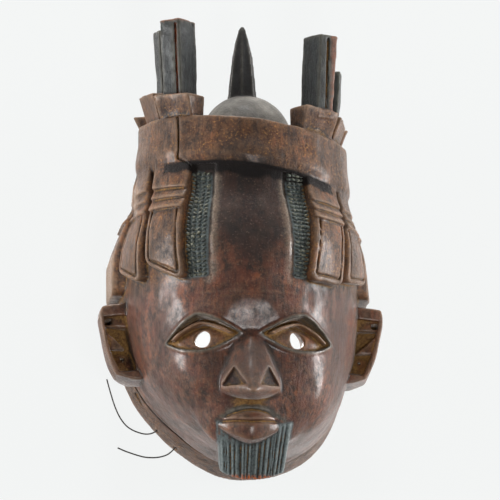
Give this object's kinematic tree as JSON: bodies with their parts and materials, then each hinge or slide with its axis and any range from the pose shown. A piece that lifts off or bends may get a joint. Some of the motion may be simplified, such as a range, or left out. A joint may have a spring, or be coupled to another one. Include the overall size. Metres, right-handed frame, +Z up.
{
  "type": "helmet mask",
  "caption": "Carved wooden helmet mask in Yoruba style: calm bearded face with pierced eyes under a crown of sheathed knives round a spiked dome; lies on its rim, face up.",
  "frame": {"origin": "middle of the bounding box at the ground, where the rim lies", "axes": "+Y from the beard to the crown, +Z up through the face, +X to the right for someone looking down on the face"},
  "size_m": [0.242, 0.401, 0.212],
  "materials": {
    "carved_wood": "polished dark reddish-brown wood, with worn black pigment on the knife handles, spike, hair and beard",
    "cord": "thin twisted black cord, matte"
  },
  "bodies": {
    "root": {"mask": "carved_wood", "cord_upper": "cord", "cord_lower": "cord"}
  },
  "joints": []
}
